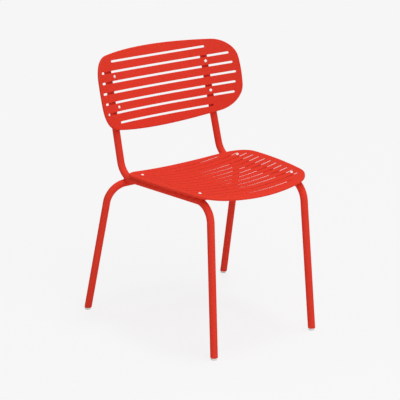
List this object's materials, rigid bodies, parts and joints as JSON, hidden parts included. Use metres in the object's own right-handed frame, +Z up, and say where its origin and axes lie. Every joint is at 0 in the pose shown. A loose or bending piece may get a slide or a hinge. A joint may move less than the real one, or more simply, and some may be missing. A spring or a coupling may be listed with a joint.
{
  "type": "metal stacking chair",
  "caption": "Stacking chair with a welded bent-tube frame, a dished slotted sheet seat and a curved slotted sheet back, on plastic glides.",
  "frame": {"origin": "on the floor, under the middle of the chair's box", "axes": "+Z up, -Y to the front of the chair, +X to the sitter's left"},
  "size_m": [0.5498, 0.587, 0.794],
  "materials": {
    "red_powder_coat": "satin red powder coat",
    "zinc_screws": "pale satin steel",
    "pale_plastic": "pale translucent plastic",
    "clear_washer": "pale plastic",
    "dark_plastic": "dull dark plastic"
  },
  "bodies": {
    "root": {"left_side_tube": "red_powder_coat", "right_side_tube": "red_powder_coat", "rear_leg_hoop": "red_powder_coat", "front_cross_bar": "red_powder_coat", "left_hoop_weld": "red_powder_coat", "right_hoop_weld": "red_powder_coat", "left_bar_weld": "red_powder_coat", "right_bar_weld": "red_powder_coat", "seat_bosses": "red_powder_coat", "back_bosses": "red_powder_coat", "seat_panel": "red_powder_coat", "back_panel": "red_powder_coat", "seat_screws": "zinc_screws", "back_screws": "zinc_screws", "front_left_glide": "pale_plastic", "front_right_glide": "pale_plastic", "rear_left_glide": "pale_plastic", "rear_right_glide": "pale_plastic", "seat_washers": "clear_washer", "back_washers": "clear_washer", "left_post_cap": "dark_plastic", "right_post_cap": "dark_plastic"}
  },
  "joints": []
}
